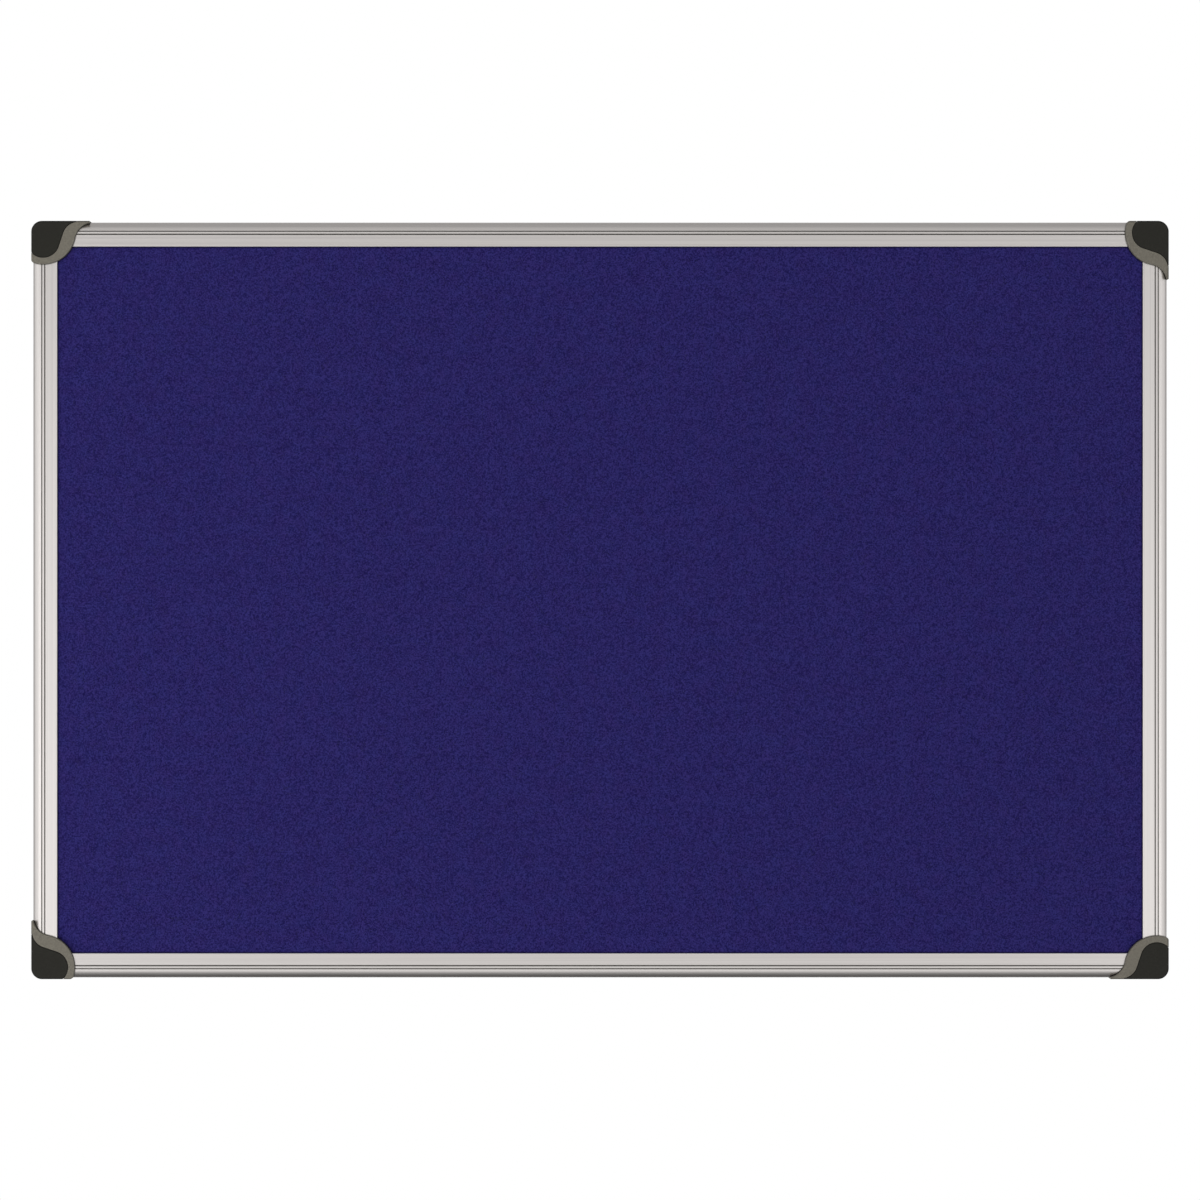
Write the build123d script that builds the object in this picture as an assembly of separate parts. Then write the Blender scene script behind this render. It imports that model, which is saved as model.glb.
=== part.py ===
from build123d import *

import os
from math import asin, cos, hypot, radians, sin, sqrt

# Felt-faced notice board in an aluminium frame with two-tone plastic corners.
#
# Every piece is modelled with the board lying on its back: X runs along the board, Y up it and
# Z out of the wall. Each piece is stood up as it is written, so that in the files the board's
# back is the plane Y = 0, its pinning face looks towards -Y and +Z is up. The origin is the
# centre of the back. Sizes are in millimetres.

# ---- Overall size, over the corner caps
BOARD_WIDTH = 900.0
BOARD_HEIGHT = 600.0

# ---- Pinning panel, from the back to the front
BACKING_THICKNESS = 0.6
CORE_THICKNESS = 6.9
CORK_THICKNESS = 3.0
FELT_THICKNESS = 1.5
PANEL_PLAY = 0.1  # free space on each side of the panel in the rail's slot
PANEL_EDGE_PLAY = 0.4  # from the panel's edge to the bottom of the slot

# ---- Rail extrusion
RAIL_FACE = 19.6  # width of the rail seen from the front
RAIL_WALL = 1.4
RAIL_ROUND = 6.9  # radius of the outer front edge
RAIL_EDGE = 0.4  # radius of the small edges
WEB_THICKNESS = 1.2  # between the hollow chamber and the panel's slot
FRONT_LIP = 9.0  # how far the front lip reaches over the panel
BACK_LIP = 5.2
GROOVES = ((7.4, 0.9, 0.8), (9.8, 1.0, 1.1))  # decorative: place from the outer side, width, depth
GROOVE_FLOOR = 0.4  # width at the bottom

# ---- Corner cap, the grey moulding over the rail ends
CAP_WALL = 0.8  # skirt outside the rails
CAP_RADIUS = 8.6  # the corner seen from the front
CAP_FRONT_EDGE = 1.6  # radius of the outer front edge
CAP_FLOOR = 1.2  # plate under the cover
CAP_SWEEP_EDGE = 0.5  # radius along the S-shaped edge
CAP_END_RADIUS = 3.0  # the blunt end of the S-shaped edge
CAP_GAP = 0.1  # between the cap and the rails and panel

# ---- Corner cover, the black lid that pulls off to reach the wall screw
COVER_PLATE = 1.15
COVER_SEAT = 0.05  # between the cover's plate and the cap's floor
COVER_GAP = 0.35  # around the S-shaped edge
COVER_WALL_GAP = 0.15  # between the cover's wall and the rails
COVER_PROUD = 0.2  # how far the cover stands out of the cap
COVER_EDGE = 0.45  # radius along its S-shaped edge
PEG_RADIUS = 1.5
PEG_LENGTH = 4.5
PEG_TIP = 0.4
PEG_CLEARANCE = 0.05
PEG_WALL = 0.8  # left in the key between its rounded corner and the peg's hole
PRY_NOTCH_WIDTH = 7.0
PRY_NOTCH_DEPTH = 1.5

# ---- S-shaped edges, in the corner's own measure: a runs from the outer corner along the long
# arm and b down the short arm. Each edge is a bulge round a centre, left at an angle, a
# straight run, and a flare along the long arm up to its blunt end, at the reach.
CAP_SWEEP = {
    "centre": (9.4, 8.7), "bulge": 25.7, "leave": 11.0, "straight": 0.0, "flare": 15.4, "reach": 46.0,
}
COVER_SWEEP = {
    "centre": (9.5, 16.2), "bulge": 13.1, "leave": 18.5, "straight": 11.4, "flare": 12.6, "reach": 35.5,
}

# ---- Corner key, the block that joins two rails
LEG_LENGTH = 30.0
LEG_CLEARANCE = 0.15
LEG_LEAD_IN = 1.2
KEY_WALL = 1.6
KEY_POCKET_DEPTH = 8.0
WALL_SCREW_BOSS = 5.3
CAP_SCREW_BOSS = 2.9

# ---- Holes and screws
WALL_HOLE_RADIUS = 2.5
WALL_SINK_RADIUS = 4.7  # countersink for the wall screw's head
SCREW_RADIUS = 1.45
SCREW_HEAD_RADIUS = 2.6
SCREW_LENGTH = 8.0
SCREW_TIP_RADIUS = 0.3
SCREW_CLEARANCE = 0.05
CROSS_WIDTH = 0.6  # the drive recess
CROSS_REACH = 1.5
CROSS_DEPTH = 0.8
RAIL_SCREW_INSET = 14.0  # from the end of a rail

# ---- Worked out from the values above
PANEL_THICKNESS = BACKING_THICKNESS + CORE_THICKNESS + CORK_THICKNESS + FELT_THICKNESS
PANEL_BACK = RAIL_WALL + PANEL_PLAY
RAIL_DEPTH = PANEL_THICKNESS + 2 * (RAIL_WALL + PANEL_PLAY)
SLOT_BOTTOM = RAIL_FACE - FRONT_LIP
CHAMBER_END = SLOT_BOTTOM - WEB_THICKNESS
# The chamber's round follows the rail's, but is no larger than a narrow chamber can take
CHAMBER_ROUND = min(RAIL_ROUND - RAIL_WALL, CHAMBER_END - RAIL_WALL - RAIL_EDGE)
CORNER = CAP_WALL + RAIL_FACE  # the square between two rail ends, from the outer corner
PANEL_INSET = CAP_WALL + SLOT_BOTTOM + PANEL_EDGE_PLAY
FELT_FRONT = PANEL_BACK + PANEL_THICKNESS
FLOOR_TOP = RAIL_DEPTH + CAP_FLOOR
COVER_BACK = FLOOR_TOP + COVER_SEAT
COVER_FRONT = COVER_BACK + COVER_PLATE
CAP_FRONT = COVER_FRONT - COVER_PROUD
COVER_WALL = CAP_WALL - COVER_WALL_GAP
WALL_HOLE = CAP_WALL + RAIL_FACE / 2  # in the middle of the corner square
CORNER_PEG_ARC = CAP_RADIUS - CAP_WALL - PEG_WALL - PEG_RADIUS - PEG_CLEARANCE
FIXING_OFFSET = WALL_HOLE - CAP_RADIUS + CORNER_PEG_ARC / sqrt(2)  # from the wall hole, both ways
LEG_WIDTH = CHAMBER_END - RAIL_WALL - 2 * LEG_CLEARANCE
LEG_BACK = RAIL_WALL + LEG_CLEARANCE
LEG_FRONT = RAIL_DEPTH - RAIL_ROUND
LEG_MIDDLE = (RAIL_WALL + CHAMBER_END) / 2  # from the rail's outer side
SINK_DEPTH = SCREW_HEAD_RADIUS - SCREW_RADIUS  # 90 degree heads
WALL_SINK_DEPTH = WALL_SINK_RADIUS - WALL_HOLE_RADIUS
CAP_SCREW_TOP = FLOOR_TOP - SCREW_CLEARANCE
REACH = 60.0  # working size of the corner, past every sweep
BEYOND = 4.0  # how far cutting shapes run past what they cut
HAIR = 0.01  # less than any feature's size

CORNERS = (
    ("top_left", -1, 1, 0),
    ("top_right", 1, 1, -90),
    ("bottom_right", 1, -1, 180),
    ("bottom_left", -1, -1, 90),
)
PEG_SIDES = ((-1, 1), (1, 1), (1, -1))  # places round the wall hole; the cap's screw has the fourth
CAP_SCREW_SIDE = (-1, -1)


def block(x0, x1, y0, y1, z0, z1):
    """A box between two opposite corners."""
    return Pos(x0, y0, z0) * Box(
        x1 - x0, y1 - y0, z1 - z0, align=(Align.MIN, Align.MIN, Align.MIN)
    )


def cylinder_between(x, y, radius, z0, z1):
    """A round bar along Z."""
    return Pos(x, y, (z0 + z1) / 2) * Cylinder(radius, z1 - z0)


def cone_between(x, y, radius0, radius1, z0, z1):
    """A cone along Z, with radius0 at z0 and radius1 at z1."""
    return Pos(x, y, (z0 + z1) / 2) * Cone(radius0, radius1, z1 - z0)


def at_corner(shape, side_x, side_y, turn):
    """Carries a piece from the corner's own frame to one corner of the board."""
    return Pos(side_x * BOARD_WIDTH / 2, side_y * BOARD_HEIGHT / 2) * Rot(0, 0, turn) * shape


def at_all_corners(shape):
    return [at_corner(shape, sx, sy, turn) for _, sx, sy, turn in CORNERS]


def arms_swapped(shape):
    """The same shape on the corner's other arm."""
    return mirror(shape, Plane(origin=(0, 0, 0), z_dir=(1, 1, 0)))


def rail_outline(grow=0.0):
    """The rail's section without its hollows, in the YZ plane, with its outer side at Y = 0."""
    with BuildSketch(Plane.YZ) as sketch:
        with Locations((-RAIL_FACE / 2, RAIL_DEPTH / 2)):
            Rectangle(RAIL_FACE, RAIL_DEPTH)
        fillet(sketch.vertices().sort_by(Axis.Y)[-2:].sort_by(Axis.X)[-1], RAIL_ROUND)
        fillet(sketch.vertices().sort_by(Axis.X)[:2].sort_by(Axis.Y)[-1], RAIL_EDGE)
        if grow:
            offset(amount=grow)
    return sketch.sketch


def rail_section():
    """The hollow section: a round-nosed chamber for the key, a slot for the panel, two grooves."""
    with BuildSketch(Plane.YZ) as chamber:
        with Locations((-(RAIL_WALL + CHAMBER_END) / 2, RAIL_DEPTH / 2)):
            Rectangle(CHAMBER_END - RAIL_WALL, RAIL_DEPTH - 2 * RAIL_WALL)
        fillet(chamber.vertices().sort_by(Axis.Y)[-2:].sort_by(Axis.X)[-1], CHAMBER_ROUND)
    with BuildSketch(Plane.YZ) as slot:
        with Locations((-(SLOT_BOTTOM + RAIL_FACE) / 2 - BEYOND / 2, RAIL_DEPTH / 2)):
            Rectangle(FRONT_LIP + BEYOND, RAIL_DEPTH - 2 * RAIL_WALL)
    with BuildSketch(Plane.YZ) as short_lip:
        start = SLOT_BOTTOM + BACK_LIP
        with Locations((-(start + RAIL_FACE + BEYOND) / 2, 0)):
            Rectangle(RAIL_FACE + BEYOND - start, 2 * (RAIL_WALL + PANEL_PLAY))
    section = rail_outline() - chamber.sketch - slot.sketch - short_lip.sketch
    for place, width, depth in GROOVES:
        mouth, floor = width / 2, GROOVE_FLOOR / 2
        slope = (mouth - floor) / depth
        wide = mouth + slope * BEYOND  # the same slope, carried past the face
        with BuildSketch(Plane.YZ) as groove:
            with BuildLine():
                Polyline(
                    (-place - floor, RAIL_DEPTH - depth),
                    (-place + floor, RAIL_DEPTH - depth),
                    (-place + wide, RAIL_DEPTH + BEYOND),
                    (-place - wide, RAIL_DEPTH + BEYOND),
                    close=True,
                )
            make_face()
        section -= groove.sketch
    return section


def screw_sink(x, y, top, facing):
    """The countersunk hole of a small screw whose head is flush at Z = top."""
    shank = SCREW_RADIUS + SCREW_CLEARANCE
    deep = top - facing * SCREW_LENGTH
    low, high = min(top, deep), max(top, deep)
    hole = cylinder_between(x, y, shank, low - SCREW_CLEARANCE, high + SCREW_CLEARANCE)
    wide = SCREW_HEAD_RADIUS + SCREW_CLEARANCE
    bottom = top - facing * (SINK_DEPTH + SCREW_CLEARANCE)
    if facing > 0:
        return hole + cone_between(x, y, shank, wide + SCREW_CLEARANCE, bottom, top + SCREW_CLEARANCE)
    return hole + cone_between(x, y, wide + SCREW_CLEARANCE, shank, top - SCREW_CLEARANCE, bottom)


def small_screw(x, y, top, facing):
    """A countersunk self-tapping screw with a cross recess. facing is the side its head is on."""
    body = cylinder_between(0, 0, SCREW_RADIUS, -SCREW_LENGTH + SCREW_RADIUS, -SINK_DEPTH)
    tip = cone_between(
        0, 0, SCREW_TIP_RADIUS, SCREW_RADIUS, -SCREW_LENGTH, -SCREW_LENGTH + SCREW_RADIUS
    )
    head = cone_between(0, 0, SCREW_RADIUS, SCREW_HEAD_RADIUS, -SINK_DEPTH, 0)
    cross = block(-CROSS_REACH, CROSS_REACH, -CROSS_WIDTH / 2, CROSS_WIDTH / 2, -CROSS_DEPTH, BEYOND)
    screw = body + tip + head - cross - Rot(0, 0, 90) * cross
    turn = Rot(0, 0, 0) if facing > 0 else Rot(180, 0, 0)
    return Pos(x, y, top) * turn * screw


def rail(length):
    """One rail along X with its outer side at Y = 0, and a screw hole near each end."""
    made = extrude(rail_section(), length / 2, both=True)
    for side in (-1, 1):
        made -= screw_sink(side * (length / 2 - RAIL_SCREW_INSET), -LEG_MIDDLE, 0, -1)
    return made


def rails():
    long_side, short_side = BOARD_WIDTH - 2 * CORNER, BOARD_HEIGHT - 2 * CORNER
    across, up = BOARD_WIDTH / 2 - CAP_WALL, BOARD_HEIGHT / 2 - CAP_WALL
    return {
        "top_rail": Pos(0, up) * rail(long_side),
        "bottom_rail": Pos(0, -up) * Rot(0, 0, 180) * rail(long_side),
        "left_rail": Pos(-across, 0) * Rot(0, 0, 90) * rail(short_side),
        "right_rail": Pos(across, 0) * Rot(0, 0, -90) * rail(short_side),
    }


def panel_layer(z0, thickness):
    """One layer of the panel, with its corners notched round the corner keys."""
    half_x, half_y = BOARD_WIDTH / 2 - PANEL_INSET, BOARD_HEIGHT / 2 - PANEL_INSET
    layer = block(-half_x, half_x, -half_y, half_y, z0, z0 + thickness)
    notch = CORNER + PANEL_EDGE_PLAY
    cut = block(-BEYOND, notch, -notch, BEYOND, z0 - BEYOND, z0 + thickness + BEYOND)
    for corner in at_all_corners(cut):
        layer -= corner
    return layer


def panel():
    layers = (
        ("backing_sheet", BACKING_THICKNESS),
        ("fibreboard_core", CORE_THICKNESS),
        ("cork_sheet", CORK_THICKNESS),
        ("felt_facing", FELT_THICKNESS),
    )
    made, z = {}, PANEL_BACK
    for name, thickness in layers:
        made[name] = panel_layer(z, thickness)
        z += thickness
    return made


def sweep_region(centre, bulge, leave, straight, flare, reach, inset=0.0, end_radius=0.0):
    """The corner area inside an S-shaped edge, in the corner's frame: X is a and Y is -b.

    inset moves the whole edge towards the corner, which makes the bulge's radius smaller and
    the flare's radius larger round the same centres.
    """
    a0, b0 = centre
    r1, r2, t = bulge - inset, flare + inset, radians(leave)
    side_b = b0 + sqrt(r1**2 - a0**2)
    turn_a, turn_b = a0 + r1 * cos(t), b0 + r1 * sin(t)
    end_a, end_b = turn_a + straight * sin(t), turn_b - straight * cos(t)
    flare_a, flare_b = end_a + r2 * cos(t), end_b + r2 * sin(t)
    last = asin((flare_a - reach + inset) / r2)  # angles round the flare, from its top
    half = (last + radians(90) - t) / 2
    with BuildSketch() as sketch:
        with BuildLine():
            ThreePointArc((0, -side_b), (a0, -(b0 + r1)), (turn_a, -turn_b))
            if straight:
                Line((turn_a, -turn_b), (end_a, -end_b))
            ThreePointArc(
                (end_a, -end_b),
                (flare_a - r2 * sin(half), -(flare_b - r2 * cos(half))),
                (reach - inset, -(flare_b - r2 * cos(last))),
            )
            Polyline(
                (reach - inset, -(flare_b - r2 * cos(last))),
                (reach - inset, BEYOND),
                (0, BEYOND),
                (0, -side_b),
            )
        make_face()
        if end_radius:
            fillet(sketch.vertices().sort_by(Axis.Y)[0], end_radius)
    return sketch.sketch


def corner_envelope(front, inset=0.0):
    """The rounded outer corner block, before its S-shaped edge is cut."""
    with BuildSketch() as sketch:
        with Locations(((REACH + inset) / 2, -(REACH + inset) / 2)):
            Rectangle(REACH - inset, REACH - inset)
        outer = [v for v in sketch.vertices() if hypot(v.X - inset, v.Y + inset) < CAP_RADIUS / 2]
        fillet(outer, CAP_RADIUS - inset)
    body = extrude(sketch.sketch, front)
    if inset:
        return body
    edges = [
        e
        for e in body.edges().filter_by_position(Axis.Z, front, front)
        if min(e.center().X, -e.center().Y) < CAP_RADIUS / 2
    ]
    return fillet(edges, CAP_FRONT_EDGE)


def sweep_body(sweep, front, edge, inset=0.0, end_radius=0.0):
    """The S-shaped area as a body up to Z = front, rounded along its front edge."""
    body = extrude(sweep_region(**sweep, inset=inset, end_radius=end_radius), front)
    top = body.edges().filter_by_position(Axis.Z, front, front)
    return fillet([e for e in top if e.center().Y < 0 and e.center().X > HAIR], edge)


def rail_space():
    """What the rails, the keys and the panel take up at a corner, with the cap's gap."""
    arm = Pos(CORNER, -CAP_WALL) * extrude(rail_outline(grow=CAP_GAP), REACH)
    key = corner_envelope(RAIL_DEPTH, inset=CAP_WALL)
    felt = block(CORNER, REACH, -REACH, -CORNER, -BEYOND, FELT_FRONT + CAP_GAP)
    return arm + arms_swapped(arm) + (key & block(0, CORNER, -CORNER, 0, 0, RAIL_DEPTH)) + felt


def fixing_points():
    """Peg and screw places in the corner's frame."""
    pegs = [(WALL_HOLE + sx * FIXING_OFFSET, -WALL_HOLE + sy * FIXING_OFFSET) for sx, sy in PEG_SIDES]
    sx, sy = CAP_SCREW_SIDE
    return pegs, (WALL_HOLE + sx * FIXING_OFFSET, -WALL_HOLE + sy * FIXING_OFFSET)


def wall_hole():
    """The countersunk hole for the wall screw, from the cap's floor to the back."""
    hole = cylinder_between(WALL_HOLE, -WALL_HOLE, WALL_HOLE_RADIUS, -BEYOND, FLOOR_TOP + BEYOND)
    low, high = FLOOR_TOP - WALL_SINK_DEPTH, FLOOR_TOP + BEYOND
    wide = WALL_SINK_RADIUS + BEYOND
    return hole + cone_between(WALL_HOLE, -WALL_HOLE, WALL_HOLE_RADIUS, wide, low, high)


def peg_holes():
    pegs, _ = fixing_points()
    bottom = COVER_BACK - PEG_LENGTH - 4 * PEG_CLEARANCE
    radius = PEG_RADIUS + PEG_CLEARANCE
    holes = [cylinder_between(x, y, radius, bottom, FLOOR_TOP + BEYOND) for x, y in pegs]
    return holes[0] + holes[1] + holes[2]


def corner_key():
    """The block between two rails, its two legs, and its holes."""
    body = corner_envelope(RAIL_DEPTH, inset=CAP_WALL) & block(0, CORNER, -CORNER, 0, 0, RAIL_DEPTH)
    side = CAP_WALL + LEG_MIDDLE - LEG_WIDTH / 2
    leg = block(
        CORNER - KEY_WALL, CORNER + LEG_LENGTH, -side - LEG_WIDTH, -side, LEG_BACK, LEG_FRONT
    )
    leg = chamfer(leg.faces().sort_by(Axis.X)[-1].edges(), LEG_LEAD_IN)
    screw_a = CORNER + RAIL_SCREW_INSET
    screw_b = CAP_WALL + LEG_MIDDLE
    pegs, (cap_x, cap_y) = fixing_points()
    edge = CORNER - KEY_WALL
    pocket = corner_envelope(KEY_POCKET_DEPTH, inset=CAP_WALL + KEY_WALL)
    pocket &= block(0, edge, -edge, 0, -BEYOND, KEY_POCKET_DEPTH)
    pocket -= cylinder_between(WALL_HOLE, -WALL_HOLE, WALL_SCREW_BOSS, -BEYOND, KEY_POCKET_DEPTH)
    pocket -= cylinder_between(cap_x, cap_y, CAP_SCREW_BOSS, -BEYOND, KEY_POCKET_DEPTH)
    pocket -= block(0, cap_x, -edge, cap_y, -BEYOND, KEY_POCKET_DEPTH)
    body -= pocket
    body = body + leg + arms_swapped(leg)
    body -= wall_hole()
    body -= peg_holes()
    body -= screw_sink(cap_x, cap_y, CAP_SCREW_TOP, 1)
    body -= screw_sink(screw_a, -screw_b, 0, -1)
    body -= screw_sink(screw_b, -screw_a, 0, -1)
    return body


def corner_cap():
    """The grey moulding: an S-edged plate, a floor under the cover, and skirts."""
    body = corner_envelope(CAP_FRONT) & sweep_body(
        CAP_SWEEP, CAP_FRONT, CAP_SWEEP_EDGE, end_radius=CAP_END_RADIUS
    )
    body -= rail_space()
    well = extrude(sweep_region(**COVER_SWEEP), CAP_FRONT + BEYOND)
    body -= well - corner_envelope(FLOOR_TOP, inset=CAP_WALL)
    body -= wall_hole()
    body -= peg_holes()
    _, (cap_x, cap_y) = fixing_points()
    body -= screw_sink(cap_x, cap_y, CAP_SCREW_TOP, 1)
    return body


def corner_cover():
    """The black lid: a plate, a wall round the outer corner, and three snap pegs."""
    body = corner_envelope(COVER_FRONT) & sweep_body(
        COVER_SWEEP, COVER_FRONT, COVER_EDGE, inset=COVER_GAP
    )
    body -= corner_envelope(COVER_BACK, inset=COVER_WALL)
    pegs, _ = fixing_points()
    tip = COVER_BACK - PEG_LENGTH
    for x, y in pegs:
        body += cylinder_between(x, y, PEG_RADIUS, tip + PEG_TIP, COVER_BACK)
        body += cone_between(x, y, PEG_RADIUS - PEG_TIP, PEG_RADIUS, tip, tip + PEG_TIP)
    middle = CORNER / 2
    body -= block(
        middle, middle + PRY_NOTCH_WIDTH, -CAP_WALL, BEYOND, -BEYOND, PRY_NOTCH_DEPTH
    )
    return body


def corners():
    made = {}
    pieces = (
        ("corner_key", corner_key()),
        ("corner_cap", corner_cap()),
        ("corner_cover", corner_cover()),
    )
    for kind, piece in pieces:
        for name, side_x, side_y, turn in CORNERS:
            made[f"{kind}_{name}"] = at_corner(piece, side_x, side_y, turn)
    return made


def screws():
    _, (cap_x, cap_y) = fixing_points()
    screw_a, screw_b = CORNER + RAIL_SCREW_INSET, CAP_WALL + LEG_MIDDLE
    one_corner = [small_screw(screw_a, -screw_b, 0, -1), small_screw(screw_b, -screw_a, 0, -1)]
    return {
        "rail_screws": Compound(children=[s for one in one_corner for s in at_all_corners(one)]),
        "cap_screws": Compound(children=at_all_corners(small_screw(cap_x, cap_y, CAP_SCREW_TOP, 1))),
    }


def stood_up(shape):
    """From lying on its back to standing: Y becomes Z, and Z becomes -Y."""
    return Rot(90, 0, 0) * shape


os.makedirs("parts", exist_ok=True)
for name, shape in {**rails(), **panel(), **corners(), **screws()}.items():
    export_step(stood_up(shape), f"parts/{name}.step")
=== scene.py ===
"""Looks of a felt-faced notice board with anodised rails and two-tone moulded corners.

Lengths are in metres in the frame's own axes: +X to the right of the board, +Z up it and -Y out
of its pinning face. Sizes of textures are given in millimetres, as a maker would give them.
"""

import math
import bpy
import numpy as np
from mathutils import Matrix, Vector


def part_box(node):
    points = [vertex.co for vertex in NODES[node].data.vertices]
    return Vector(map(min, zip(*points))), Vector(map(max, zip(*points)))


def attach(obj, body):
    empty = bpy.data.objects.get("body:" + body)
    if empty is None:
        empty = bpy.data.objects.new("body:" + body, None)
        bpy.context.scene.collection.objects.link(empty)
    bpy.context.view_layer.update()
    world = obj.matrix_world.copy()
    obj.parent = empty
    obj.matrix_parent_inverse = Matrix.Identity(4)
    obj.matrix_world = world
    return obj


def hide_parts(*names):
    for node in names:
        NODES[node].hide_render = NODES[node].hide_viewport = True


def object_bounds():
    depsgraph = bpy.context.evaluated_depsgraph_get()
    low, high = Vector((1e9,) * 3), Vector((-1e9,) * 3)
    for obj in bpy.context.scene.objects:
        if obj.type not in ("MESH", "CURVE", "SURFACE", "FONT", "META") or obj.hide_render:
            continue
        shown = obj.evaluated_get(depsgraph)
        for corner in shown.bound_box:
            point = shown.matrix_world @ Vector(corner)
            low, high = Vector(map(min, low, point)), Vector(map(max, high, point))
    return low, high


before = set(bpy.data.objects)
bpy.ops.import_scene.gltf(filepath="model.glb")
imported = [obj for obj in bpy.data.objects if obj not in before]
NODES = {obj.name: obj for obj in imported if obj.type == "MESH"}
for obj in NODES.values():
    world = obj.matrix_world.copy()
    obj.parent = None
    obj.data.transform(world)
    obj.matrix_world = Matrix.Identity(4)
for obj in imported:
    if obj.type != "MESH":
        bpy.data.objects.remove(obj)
cad_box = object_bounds()

MM = 0.001
SEED = 7

# ---- Materials
NOISE_SPAN = (0.3, 0.7)  # nearly all of a noise's values lie between these
SHADE_SAMPLES = 8  # rays that look for the corners and recesses where shade is painted into the colour

# ---- The felt
PANEL_LOW, PANEL_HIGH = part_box("felt_facing")
PANEL_EDGE_PLAY = 0.4 * MM  # from the panel's edge to the bottom of the rails' slots
LIP_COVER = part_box("left_rail")[1].x - PANEL_LOW.x  # how far the rails' lips reach over it
# How far it is notched at its corners, round the corner keys
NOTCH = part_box("bottom_rail")[0].x + PANEL_EDGE_PLAY - PANEL_LOW.x
FELT_CELL = 3.3 * MM  # grid of its relief
FELT_RELIEF = 0.1 * MM  # the relief's height where its lumps come to 1
LUMPS = ((45 * MM, 0.6), (14 * MM, 0.4))  # their sizes and shares
LUMP_LIMIT = 1.5  # the highest and lowest that the lumps may come to
RELIEF_FADE = 14 * MM  # the relief dies out over this distance, before the rails' lips
WAVES = 24  # plane waves that make up a set of lumps
WAVE_SPREAD = (0.7, 1.5)  # the waves' lengths, in lump sizes

# ---- Loose fibre ends
FIBRE_COUNT = 8000
FIBRE_RADIUS = 0.035 * MM  # twice a real fibre's, so that they show
FIBRE_LENGTHS = (3 * MM, 9 * MM)
FIBRE_LIFTS = (0.06 * MM, 0.35 * MM)  # how far a fibre's middle stands off the felt
FIBRE_RINGS = 4  # rings of points along a fibre, between its two ends

# ---- The studio
VIEW_WIDTH = 1.0545  # of the picture at the board's face, in board widths
LENS, SENSOR = 135.0, 36.0  # the camera's focal length and picture width, in millimetres
FLOOR_DROP = 1.05  # from the board's middle down to the floor
FLOOR_SIZE = 5.0  # its sides
FLOOR_GLOW = 0.25  # keeps the floor pale where little light reaches it
# Light by the height it comes from, from -1, straight below, to 1, straight above
LIGHT_LEVELS = (
    (-1.0, 0.12), (-0.96, 0.14), (-0.85, 0.2), (-0.68, 0.38), (-0.45, 0.95), (-0.2, 1.08),
    (-0.06, 0.66), (0.06, 0.55), (0.2, 0.39), (0.45, 0.5), (0.65, 0.48), (0.8, 0.4), (1.0, 0.36),
)
LIGHT_LEFT, LIGHT_RIGHT = 1.08, 0.9  # its share on the far left and the far right
LIGHT_ASIDE = 0.8  # well to either side, where the light is the same at any height
LIGHT_BEHIND = 0.4  # share of the light that is left behind the board, at its sides and below
# The spans over which the light changes. Each is of one part of the direction that the light
# comes from, whose X points to the right, Y behind the board and Z up, each from -1 to 1
ASIDE_X = (0.45, 0.7)  # either way, from the front's levels to LIGHT_ASIDE
SIDES_X, SIDES_Y = (0.15, 0.5), (0.05, 0.35)  # to LIGHT_BEHIND behind the board's sides
BELOW_Z, BELOW_Y = (-0.7, -0.3), (-0.2, 0.4)  # to LIGHT_BEHIND below, from the front to the back
SOFT_BOXES = {  # place, size, power in watts, and whether glossy surfaces mirror it
    "left_soft_box": ((-1.5, -2.4, -0.2), 1.2, 3.9, True),
    "right_soft_box": ((1.5, -2.4, -0.2), 1.2, 3.1, True),
    "far_left_soft_box": ((-2.2, -1.3, -0.8), 1.2, 26.0, False),
    "back_soft_box": ((0.9, 2.5, 0.7), 1.2, 20.0, False),
}


def linear(hex_colour):
    """A six-digit sRGB colour as linear red, green, blue and alpha."""
    parts = np.array([int(hex_colour[i : i + 2], 16) for i in (1, 3, 5)]) / 255
    line = np.where(parts <= 0.04045, parts / 12.92, ((parts + 0.055) / 1.055) ** 2.4)
    return (*line.tolist(), 1.0)


def node(tree, kind, inputs=(), output=0, **settings):
    """Adds one node with its settings, and gives back one of its outputs, if it has any.

    Its inputs are values or links, given in the node's order or by name or number.
    """
    made = tree.nodes.new("ShaderNode" + kind)
    for name, value in settings.items():
        setattr(made, name, value)
    for key, value in inputs.items() if isinstance(inputs, dict) else enumerate(inputs):
        if isinstance(value, bpy.types.NodeSocket):
            tree.links.new(value, made.inputs[key])
        else:
            made.inputs[key].default_value = value
    return made.outputs[output] if made.outputs else None


# ---------------------------------------------------------------- materials


def start_material(name):
    """A new material, its empty node tree and the place on the piece, in metres."""
    material = bpy.data.materials.new(name)
    material.use_nodes = True
    tree = material.node_tree
    tree.nodes.clear()
    return material, tree, node(tree, "TexCoord", output="Object")


def close_material(tree, inputs):
    """Ends a material with its shader."""
    node(tree, "OutputMaterial", (node(tree, "BsdfPrincipled", inputs),))


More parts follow.
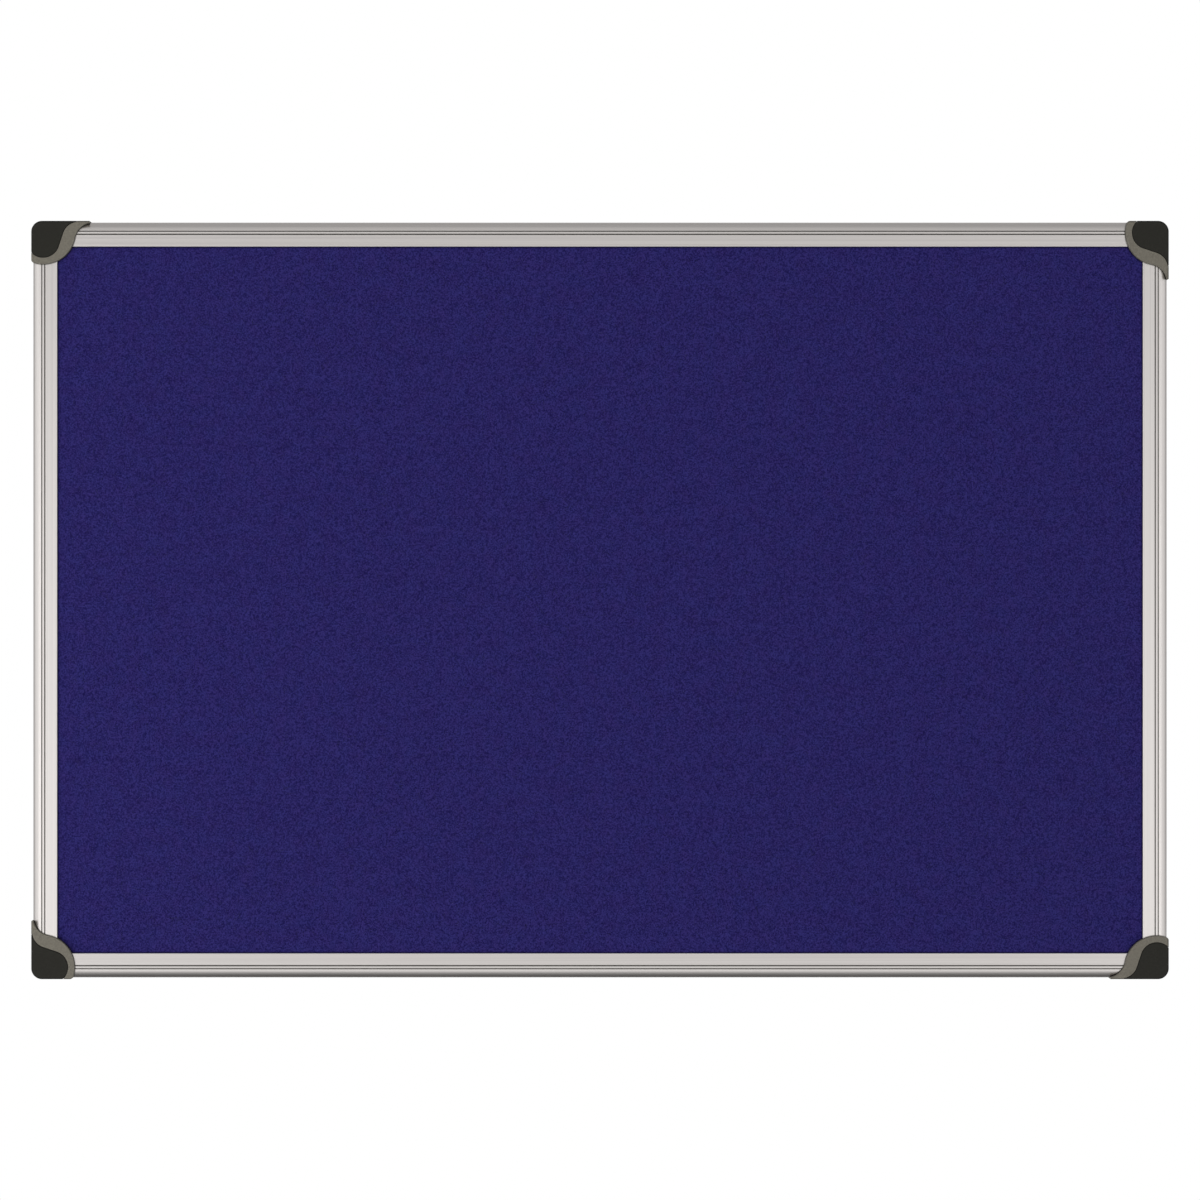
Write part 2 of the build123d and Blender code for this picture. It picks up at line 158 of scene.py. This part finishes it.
def anodised_aluminium(name, along, crevice_shade):
    """Extruded aluminium, satin anodised.

    Etching before the anodising leaves a pale warm grey satin, and the die leaves fine lines
    along the rail, which draw each highlight out across it. Shade is painted into the grooves'
    floors and where its neighbours meet it, darker in a rail that lies level.
    """
    material, tree, place = start_material(name)
    # The die's lines are about 0.1 mm apart, drawn at 0.8 mm so that they show
    long, fine = 700 * MM, 0.8 * MM
    stretched = node(
        tree, "Mapping",
        {"Vector": place, "Scale": (long, fine, fine) if along == "X" else (fine, fine, long)},
        vector_type="TEXTURE",
    )
    lines = node(tree, "TexNoise", {"Vector": stretched, "Scale": 1.0, "Detail": 3.0})
    clouds = node(tree, "TexNoise", {"Vector": place, "Scale": 1 / (90 * MM), "Detail": 3.0})
    streaks = node(tree, "MapRange", (lines, *NOISE_SPAN, 0, 1))
    metal = node(
        tree, "Mix", {0: streaks, 6: linear("#E5E0DD"), 7: linear("#F3EEEB")}, 2, data_type="RGBA"
    )
    # Painted shade: the colour goes to crevice_shade in the grooves and along the caps' edges
    open_air = node(
        tree, "AmbientOcclusion", {"Distance": 1.1 * MM}, "AO", samples=SHADE_SAMPLES
    )
    unshaded = node(tree, "MapRange", (open_air, 0.5, 0.96, 0.0, 1.0))
    with_painted_shade = node(tree, "Mix", {0: unshaded, 6: linear(crevice_shade), 7: metal}, 2, data_type="RGBA")
    satin = node(tree, "MapRange", (lines, *NOISE_SPAN, 0.30, 0.38))
    tangent = node(tree, "CombineXYZ", {"X": float(along == "X"), "Z": float(along == "Z")})
    close_material(tree, {
        "Base Color": with_painted_shade,
        "Metallic": 1.0,
        "Roughness": node(tree, "MapRange", (clouds, *NOISE_SPAN, satin, 0.37)),
        "Anisotropic": 0.6,
        "Anisotropic Rotation": 0.25,  # a quarter turn, so highlights run across the lines
        "Tangent": tangent,
        "Normal": node(tree, "Bump", {"Height": lines, "Distance": 0.02 * MM, "Strength": 0.6}),
    })
    return material


def moulded_plastic(name, deep, pale, roughness, shine, rim):
    """Injection-moulded plastic from a spark-eroded tool.

    It has one colour through and through, with faint flow clouds and a fine satin grain. Shade
    is painted on its rolled edges, which turn from the light, down to the share of its colour
    that rim gives, and into the corners where it meets its neighbours.
    """
    material, tree, place = start_material(name)
    # The spark grain is about 0.1 mm, drawn at 0.8 mm so that it shows
    spark = node(tree, "TexNoise", {"Vector": place, "Scale": 1 / (0.8 * MM), "Detail": 3.0})
    flow = node(tree, "TexNoise", {"Vector": place, "Scale": 1 / (9 * MM), "Detail": 3.0})
    grain = node(tree, "MapRange", (spark, *NOISE_SPAN, 0.0, 1.0))
    mixed = node(tree, "MapRange", (flow, 0.1, 0.9, grain, 0.5))
    colour = node(
        tree, "Mix", {0: mixed, 6: linear(deep), 7: linear(pale)}, 2, data_type="RGBA"
    )
    # Painted shade in the corners where it meets its neighbours, darkening to near black
    open_air = node(
        tree, "AmbientOcclusion", {"Distance": 1.2 * MM}, "AO", samples=SHADE_SAMPLES
    )
    unshaded_corners = node(tree, "MapRange", (open_air, 0.4, 0.95, 0.0, 1.0))
    # |2 |y| - 1| of the face's direction: 1 in front, at the back and at the sides, 0 between
    facing = node(tree, "SeparateXYZ", (node(tree, "TexCoord", output="Normal"),), "Y")
    forward = node(tree, "Math", (facing,), operation="ABSOLUTE")
    folded = node(tree, "Math", (forward, 2.0, -1.0), operation="MULTIPLY_ADD")
    flatness = node(tree, "Math", (folded,), operation="ABSOLUTE")
    # Painted shade on the rolled edges, which turn from the light: down to rim's share of the
    # colour
    rim_shade = node(tree, "MapRange", (flatness, 0.6, 0.94, rim, 1.0))
    unshaded = node(tree, "Math", (unshaded_corners, rim_shade), operation="MULTIPLY")
    with_painted_shade = node(tree, "Mix", {0: unshaded, 6: linear("#0C0C0B"), 7: colour}, 2, data_type="RGBA")
    satin = node(tree, "MapRange", (flow, *NOISE_SPAN, roughness - 0.04, roughness + 0.04))
    close_material(tree, {
        "Base Color": with_painted_shade,
        "Roughness": satin,
        "Specular IOR Level": shine,
        "Normal": node(tree, "Bump", {"Height": spark, "Distance": 0.035 * MM, "Strength": 0.8}),
    })
    return material


def zinc_plated_steel():
    """Bright zinc plate: slightly blue, with a fine crystalline unevenness."""
    material, tree, place = start_material("zinc_plated_steel")
    # The crystals are a few hundredths of a millimetre, drawn at 0.5 mm so that they show
    crystals = node(tree, "TexNoise", {"Vector": place, "Scale": 1 / (0.5 * MM), "Detail": 4.0})
    shade = node(tree, "MapRange", (crystals, *NOISE_SPAN, 0, 1))
    close_material(tree, {
        "Base Color": node(
            tree, "Mix", {0: shade, 6: linear("#B9BCBF"), 7: linear("#D8DADB")}, 2,
            data_type="RGBA",
        ),
        "Metallic": 1.0,
        "Roughness": node(tree, "MapRange", (crystals, *NOISE_SPAN, 0.24, 0.4)),
        "Normal": node(tree, "Bump", {"Height": crystals, "Distance": 0.02 * MM, "Strength": 0.5}),
    })
    return material


def matted_fibres(tree, place, width_mm, length_mm, turns):
    """Streaks like matted fibres: the highest of stretched noises laid at several turns about Y.

    The place wanders by up to 2 mm either way first, over some 6 mm, which curls them.
    """
    wander = node(
        tree, "TexNoise", {"Vector": place, "Scale": 1 / (6 * MM), "Detail": 1.0}, "Color"
    )
    curled = node(tree, "VectorMath", (wander, (4 * MM,) * 3, place), operation="MULTIPLY_ADD")
    size = (length_mm * MM, width_mm * MM, width_mm * MM)
    field = 0.0
    for turn in turns:
        laid = node(
            tree, "Mapping", {"Vector": curled, "Rotation": (0, turn, 0), "Scale": size},
            vector_type="TEXTURE",
        )
        layer = node(tree, "TexNoise", {"Vector": laid, "Scale": 1.0, "Detail": 2.0})
        field = node(tree, "Math", (field, layer), operation="MAXIMUM")
    return field


def needle_felt():
    """Needle-punched polyester felt, dyed dark blue.

    Barbed needles mat the loose fibres into a level, matt face, so it shows specks and short
    streaks lighter or darker than the rest, patches that are more violet, and no weave.
    """
    material, tree, place = start_material("needle_punched_felt")
    # The fibres are about 0.03 mm thick, drawn 0.5 mm wide so that they show
    fibres = matted_fibres(tree, place, 0.5, 3.0, (0.3, 1.35, 2.2, 2.9))
    specks = node(tree, "TexNoise", {"Vector": place, "Scale": 1 / (1.0 * MM), "Detail": 1.0})
    patches = node(tree, "TexNoise", {"Vector": place, "Scale": 1 / (13 * MM), "Detail": 4.0})
    streaks = node(tree, "MapRange", (fibres, 0.45, 0.72, 0.0, 0.35))
    light = node(tree, "MapRange", (specks, 0.33, 0.67, streaks, 1.0))
    violet = node(
        tree, "Mix", {0: light, 6: linear("#0F0841"), 7: linear("#332A6D")}, 2, data_type="RGBA"
    )
    blue = node(
        tree, "Mix", {0: light, 6: linear("#0E0A42"), 7: linear("#312D71")}, 2, data_type="RGBA"
    )
    hue = node(tree, "MapRange", (patches, 0.35, 0.65, 0, 1))
    dyed = node(tree, "Mix", {0: hue, 6: violet, 7: blue}, 2, data_type="RGBA")
    # Painted shade: the felt darkens under the rails' lips and round the caps
    open_air = node(
        tree, "AmbientOcclusion", {"Distance": 1.8 * MM}, "AO", samples=SHADE_SAMPLES
    )
    unshaded = node(tree, "MapRange", (open_air, 0.5, 0.97, 0.0, 1.0))
    with_painted_shade = node(tree, "Mix", {0: unshaded, 6: linear("#08061C"), 7: dyed}, 2, data_type="RGBA")
    nap = node(tree, "Math", (fibres, specks), operation="ADD")
    close_material(tree, {
        "Base Color": with_painted_shade,
        "Roughness": 0.95,
        "Specular IOR Level": 0.12,
        "Sheen Weight": 0.08,
        "Sheen Roughness": 0.6,
        "Sheen Tint": linear("#6A6AC0"),
        "Normal": node(tree, "Bump", {"Height": nap, "Distance": 0.25 * MM, "Strength": 0.8}),
    })
    return material


def dyed_fibre():
    """Single polyester fibres in the felt's dye, each with its own shade."""
    material, tree, _ = start_material("dyed_fibre")
    tone = node(tree, "Attribute", output="Fac", attribute_name="tone")
    close_material(tree, {
        "Base Color": node(
            tree, "Mix", {0: tone, 6: linear("#1E1856"), 7: linear("#45428C")}, 2,
            data_type="RGBA",
        ),
        "Roughness": 0.8,
        "Sheen Weight": 0.1,
        "Specular IOR Level": 0.3,
    })
    return material


def pressed_cork():
    """Agglomerated cork: granules about 2 mm across in warm browns, pressed, with dark gaps."""
    material, tree, place = start_material("pressed_cork")
    granules = {"Vector": place, "Scale": 1 / (2.2 * MM)}
    shade = node(tree, "SeparateColor", (node(tree, "TexVoronoi", granules, "Color"),))
    edges = node(tree, "TexVoronoi", granules, "Distance", feature="DISTANCE_TO_EDGE")
    browns = node(
        tree, "Mix", {0: shade, 6: linear("#96693C"), 7: linear("#C99B62")}, 2, data_type="RGBA"
    )
    whole = node(tree, "MapRange", (edges, 0.0, 0.12, 0.0, 1.0))
    close_material(tree, {
        "Base Color": node(
            tree, "Mix", {0: whole, 6: linear("#5A3B20"), 7: browns}, 2, data_type="RGBA"
        ),
        "Roughness": 0.9,
        "Normal": node(tree, "Bump", {"Height": edges, "Distance": 0.3 * MM, "Strength": 0.6}),
    })
    return material


def soft_fibreboard():
    """Low-density fibreboard: wood fibres felted in water and dried, light brown and matt."""
    material, tree, place = start_material("soft_fibreboard")
    # The fibres are about 0.05 mm thick, drawn 0.8 mm wide so that they show
    fibres = matted_fibres(tree, place, 0.8, 5.0, (0.1, 1.1, 2.3))
    shade = node(tree, "MapRange", (fibres, 0.45, 0.72, 0, 1))
    close_material(tree, {
        "Base Color": node(
            tree, "Mix", {0: shade, 6: linear("#8F7350"), 7: linear("#C0A27A")}, 2,
            data_type="RGBA",
        ),
        "Roughness": 0.95,
        "Normal": node(tree, "Bump", {"Height": fibres, "Distance": 0.2 * MM, "Strength": 0.7}),
    })
    return material


def kraft_liner():
    """Unbleached kraft liner: brown paper, rolled smooth.

    It has flecks of darker fibre and the soft waves that glue leaves as it dries.
    """
    material, tree, place = start_material("kraft_liner_paper")
    # The fibres are about 0.04 mm thick, drawn 0.45 mm wide so that they show
    fibres = matted_fibres(tree, place, 0.45, 4.0, (0.05, 0.9, 1.7, 2.6))
    clouds = node(tree, "TexNoise", {"Vector": place, "Scale": 1 / (45 * MM), "Detail": 5.0})
    waves = node(tree, "TexNoise", {"Vector": place, "Scale": 1 / (140 * MM), "Detail": 1.0})
    flecks = node(tree, "MapRange", (fibres, 0.42, 0.74, 0.0, 1.0))
    cloudy = node(tree, "MapRange", (clouds, *NOISE_SPAN, -0.08, 0.08))
    shade = node(tree, "Math", (flecks, cloudy), operation="ADD")
    # Painted shade: the paper darkens where the rails, caps and screws shut it in
    open_air = node(
        tree, "AmbientOcclusion", {"Distance": 4 * MM}, "AO", samples=SHADE_SAMPLES
    )
    unshaded = node(tree, "MapRange", (open_air, 0.45, 0.95, 0.0, 1.0))
    paper = node(
        tree, "Mix", {0: shade, 6: linear("#A28560"), 7: linear("#BC9E76")}, 2, data_type="RGBA"
    )
    tooth = node(tree, "Bump", {"Height": fibres, "Distance": 0.03 * MM, "Strength": 0.4})
    close_material(tree, {
        "Base Color": node(
            tree, "Mix", {0: unshaded, 6: linear("#5E4930"), 7: paper}, 2, data_type="RGBA"
        ),
        "Roughness": 0.8,
        "Normal": node(
            tree, "Bump",
            {"Height": waves, "Distance": 1.2 * MM, "Strength": 0.5, "Normal": tooth},
        ),
    })
    return material


def finish_cad_nodes():
    """Gives every node the finish whose key its name starts with."""
    # The last colours are the painted shade in the grooves and corners, darker on the level rails
    along_x = anodised_aluminium("anodised_rail_x", "X", "#5C5A55")
    along_z = anodised_aluminium("anodised_rail_z", "Z", "#8A8782")
    zinc = zinc_plated_steel()
    finishes = {
        "top_rail": along_x, "bottom_rail": along_x, "left_rail": along_z, "right_rail": along_z,
        # The last number is the share of the colour that painted shade leaves on the rolled edges
        "corner_cap": moulded_plastic("grey_abs", "#5B574E", "#817C70", 0.5, 0.4, 0.5),
        "corner_cover": moulded_plastic("black_abs", "#191814", "#2D2C26", 0.55, 0.2, 0.1),
        "corner_key": moulded_plastic("black_nylon", "#18181A", "#2D2D2E", 0.55, 0.4, 0.8),
        "rail_screws": zinc, "cap_screws": zinc, "cork_sheet": pressed_cork(),
        "fibreboard_core": soft_fibreboard(), "backing_sheet": kraft_liner(),
    }
    for name, piece in NODES.items():
        for start, material in finishes.items():
            if name.startswith(start):
                piece.data.materials.clear()
                piece.data.materials.append(material)


# ---------------------------------------------------------------- pieces


def mesh_piece(name, points, faces, material):
    """A smooth mesh piece from an array of points and an array of faces."""
    mesh = bpy.data.meshes.new(name)
    mesh.from_pydata(points.reshape(-1, 3).tolist(), [], faces.tolist())
    mesh.polygons.foreach_set("use_smooth", np.ones(len(mesh.polygons), bool))
    mesh.materials.append(material)
    mesh.update()
    piece = bpy.data.objects.new(name, mesh)
    bpy.context.scene.collection.objects.link(piece)
    return piece


def lumps(x, z, size, seed):
    """Smooth random lumps: the sum of plane waves, each about size long and its own way.

    The sum is divided by the square root of their number, so that it seldom passes 1.5.
    """
    random = np.random.default_rng(seed)
    turns, phases = random.uniform(0, 2 * math.pi, (2, WAVES))
    rates = 2 * math.pi / (size * random.uniform(*WAVE_SPREAD, WAVES))
    total = np.zeros_like(x)
    for turn, phase, rate in zip(turns, phases, rates):
        total += np.sin(rate * (x * math.cos(turn) + z * math.sin(turn)) + phase)
    return total / math.sqrt(WAVES)


def relief(x, z):
    """The felt's height over its flat face: lumps of two sizes, faded out towards the rails.

    With f the distance from the lips over RELIEF_FADE, from 0 to 1, the fade is f * f * (3 - 2 f).
    """
    low, high = PANEL_LOW, PANEL_HIGH
    inset = np.minimum.reduce([x - low.x, high.x - x, z - low.z, high.z - z]) - LIP_COVER
    fade = np.clip(inset / RELIEF_FADE, 0, 1)
    rough = sum(share * lumps(x, z, size, SEED + i) for i, (size, share) in enumerate(LUMPS))
    return FELT_RELIEF * fade * fade * (3 - 2 * fade) * np.clip(rough, -LUMP_LIMIT, LUMP_LIMIT)


def grid_lines(low, high):
    """Grid lines from low to high: one at each notch's edge, and an even grid between them."""
    count = math.ceil((high - low - 2 * NOTCH) / FELT_CELL)
    return np.concatenate([[low], np.linspace(low + NOTCH, high - NOTCH, count + 1), [high]])


def felt_sheet(material):
    """The felt facing: a slab notched at its corners for the corner keys.

    Its front is y = front - relief(x, z) and its back is flat, on the same grid of x and z. The
    four corner cells are left out, and a wall joins front and back along the outline.
    """
    low, high = PANEL_LOW, PANEL_HIGH
    x, z = np.meshgrid(grid_lines(low.x, high.x), grid_lines(low.z, high.z))
    front = np.stack([x, low.y - relief(x, z), z], axis=-1)
    back = np.stack([x, np.full_like(x, high.y), z], axis=-1)
    rows, columns = x.shape
    index = np.arange(rows * columns).reshape(rows, columns)
    cells = np.stack([index[:-1, :-1], index[:-1, 1:], index[1:, 1:], index[1:, :-1]], axis=-1)
    kept = np.ones(cells.shape[:2], bool)
    kept[[0, 0, -1, -1], [0, -1, 0, -1]] = False
    cells = cells[kept]
    # An edge that only one cell uses lies on the outline, where the wall goes
    edges = np.stack([cells, np.roll(cells, -1, axis=1)], axis=-1).reshape(-1, 2)
    keys = np.sort(edges, axis=1) @ (index.size, 1)
    _, first, uses = np.unique(keys, return_index=True, return_counts=True)
    rim = edges[first[uses == 1]]
    wall = np.concatenate([rim[:, ::-1], rim + index.size], axis=1)
    faces = np.concatenate([cells, cells[:, ::-1] + index.size, wall])
    used, faces = np.unique(faces, return_inverse=True)
    points = np.concatenate([front.reshape(-1, 3), back.reshape(-1, 3)])[used]
    felt = mesh_piece("felt_face", points, faces.reshape(-1, 4), material)
    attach(felt, "board")
    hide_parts("felt_facing")
    return felt


def stray_fibres(material):
    """Loose fibre ends on the felt: three-sided tubes with pointed ends along shallow arcs.

    An arc runs (t, bend * t * t) * length, for t from -1/2 to 1/2, turned at random in the
    board's plane. It stands lift * (1 - 4 t * t) over the felt, and its ends dip into it.
    """
    random = np.random.default_rng(SEED)
    low, high = PANEL_LOW, PANEL_HIGH
    edge = LIP_COVER + FIBRE_LENGTHS[1]
    column = (FIBRE_COUNT, 1)
    # The draws stay in this order, which fixes where each fibre lies
    middle_x = random.uniform(low.x + edge, high.x - edge, column)
    middle_z = random.uniform(low.z + edge, high.z - edge, column)
    length = random.uniform(*FIBRE_LENGTHS, column)
    turn = random.uniform(0, 2 * math.pi, column)
    bend = random.uniform(-1, 1, column)
    lift = random.uniform(*FIBRE_LIFTS, column)
    tone = random.uniform(0, 1, column)

    t = np.linspace(-0.5, 0.5, FIBRE_RINGS + 2)
    run, side = length * t, length * bend * t * t
    x = middle_x + run * np.cos(turn) - side * np.sin(turn)
    z = middle_z + run * np.sin(turn) + side * np.cos(turn)
    y = low.y - relief(x, z) - lift * (1 - 4 * t * t) + FIBRE_RADIUS
    line = np.stack([x, y, z], axis=-1)
    heading = turn + np.arctan(2 * bend * t)
    across = np.stack([-np.sin(heading), np.zeros_like(heading), np.cos(heading)], axis=-1)
    out = np.array([0, -1, 0])
    corners = 2 * math.pi * np.arange(3) / 3
    rings = line[:, 1:-1, None] + FIBRE_RADIUS * (
        np.cos(corners)[:, None] * across[:, 1:-1, None] + np.sin(corners)[:, None] * out
    )
    points = np.concatenate(
        [line[:, :1], rings.reshape(FIBRE_COUNT, -1, 3), line[:, -1:]], axis=1
    )
    # The triangles of one fibre: a point at either end, and bands from ring to ring
    last = 3 * FIBRE_RINGS + 1
    corner = np.arange(3)
    following = (corner + 1) % 3
    first_end = np.stack([0 * corner, 1 + corner, 1 + following], axis=1)
    last_end = np.stack([last + 0 * corner, last - 3 + following, last - 3 + corner], axis=1)
    bands = [
        1 + 3 * ring + np.concatenate([
            np.stack([corner, 3 + corner, 3 + following], axis=1),
            np.stack([corner, 3 + following, following], axis=1),
        ])
        for ring in range(FIBRE_RINGS - 1)
    ]
    one = np.concatenate([first_end, *bands, last_end])  # and then all, each on its own points
    faces = one + (last + 1) * np.arange(FIBRE_COUNT)[:, None, None]
    fibres = mesh_piece("stray_fibres", points, faces.reshape(-1, 3), material)
    shade = fibres.data.attributes.new("tone", "FLOAT", "POINT")
    shade.data.foreach_set("value", np.repeat(tone.ravel(), last + 1))
    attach(fibres, "board")
    return fibres


# ---------------------------------------------------------------- studio


def studio_light():
    """Soft light from all round, by the height it comes from and a little less from the right.

    Well to either side it is the same at any height. Behind the board's sides and below it,
    less is left. Past the board the lens sees plain white.
    """
    world = bpy.data.worlds.new("studio_light")
    bpy.context.scene.world = world
    world.use_nodes = True
    tree = world.node_tree
    tree.nodes.clear()
    way = node(tree, "TexCoord", output="Generated")
    across = node(tree, "SeparateXYZ", (way,), "X")
    height = node(tree, "SeparateXYZ", (way,), "Z")
    level = node(tree, "ValToRGB", (node(tree, "MapRange", (height, -1, 1, 0, 1)),))
    stops = level.node.color_ramp.elements
    for height_from, _ in LIGHT_LEVELS[1:-1]:
        stops.new((height_from + 1) / 2)
    for stop, (_, strength) in zip(stops, LIGHT_LEVELS):
        stop.color = (strength, strength, strength, 1)
    side = node(tree, "MapRange", (across, -1, 1, LIGHT_LEFT, LIGHT_RIGHT))
    depth = node(tree, "SeparateXYZ", (way,), "Y")
    beside = node(tree, "Math", (across,), operation="ABSOLUTE")
    wide = node(tree, "MapRange", (beside, *SIDES_X, 0.0, 1.0))
    behind = node(tree, "MapRange", (depth, *SIDES_Y, 0.0, wide))
    low = node(tree, "MapRange", (height, *BELOW_Z, 1.0, 0.0))
    under = node(tree, "MapRange", (depth, *BELOW_Y, 0.0, low))
    dim = node(tree, "Math", (behind, under), operation="MAXIMUM")
    fall = node(tree, "MapRange", (dim, 0.0, 1.0, 1.0, LIGHT_BEHIND))
    shaded = node(tree, "Math", (side, fall), operation="MULTIPLY")
    even = node(tree, "MapRange", (beside, *ASIDE_X, level, LIGHT_ASIDE))
    lit = node(tree, "Math", (even, shaded), operation="MULTIPLY")
    seen = node(tree, "LightPath", output="Is Camera Ray")
    shown = node(tree, "Mix", {0: seen, 2: lit, 3: 1.0})
    node(tree, "OutputWorld", (node(tree, "Background", (shown,)),))


def soft_box(name, place, size, power, mirrored):
    """A square soft box with its middle at a place, aimed at the board's middle."""
    light = bpy.data.lights.new(name, "AREA")
    light.size, light.energy = size, power
    lamp = bpy.data.objects.new(name, light)
    bpy.context.scene.collection.objects.link(lamp)
    lamp.location = place
    lamp.visible_glossy = mirrored
    lamp.rotation_euler = (-Vector(place)).to_track_quat("-Z", "Y").to_euler()


def pale_floor():
    """A floor in matt paint, rolled on: near white, with faint clouds where it dried unevenly."""
    material, tree, place = start_material("matt_floor_paint")
    clouds = node(tree, "TexNoise", {"Vector": place, "Scale": 1 / (300 * MM), "Detail": 3.0})
    shade = node(tree, "MapRange", (clouds, *NOISE_SPAN, 0, 1))
    close_material(tree, {
        "Base Color": node(
            tree, "Mix", {0: shade, 6: linear("#F2F2F0"), 7: linear("#F6F6F4")}, 2,
            data_type="RGBA",
        ),
        "Roughness": 0.7,
        "Emission Color": linear("#FFFFFF"),
        "Emission Strength": FLOOR_GLOW,
    })
    half = FLOOR_SIZE / 2
    points = np.array([(-half, -half, 0), (half, -half, 0), (half, half, 0), (-half, half, 0)])
    floor = mesh_piece("floor", points - (0, 0, FLOOR_DROP), np.array([[0, 1, 2, 3]]), material)
    floor.visible_glossy = False  # so that the rails reflect the studio's light alone


def front_camera():
    """A lens square on to the board, as far off as fills the picture with VIEW_WIDTH boards."""
    low, high = cad_box
    lens = bpy.data.cameras.new("front_camera")
    lens.lens, lens.sensor_width = LENS, SENSOR
    camera = bpy.data.objects.new("front_camera", lens)
    bpy.context.scene.collection.objects.link(camera)
    distance = VIEW_WIDTH * (high.x - low.x) * LENS / SENSOR
    camera.location = (0, low.y - distance, 0)
    camera.rotation_euler = (math.pi / 2, 0, 0)
    bpy.context.scene.camera = camera


finish_cad_nodes()
felt = felt_sheet(needle_felt())
fibres = stray_fibres(dyed_fibre())

studio_light()
for name, box in SOFT_BOXES.items():
    soft_box(name, *box)
pale_floor()
front_camera()
bpy.context.scene.view_settings.view_transform = "Standard"
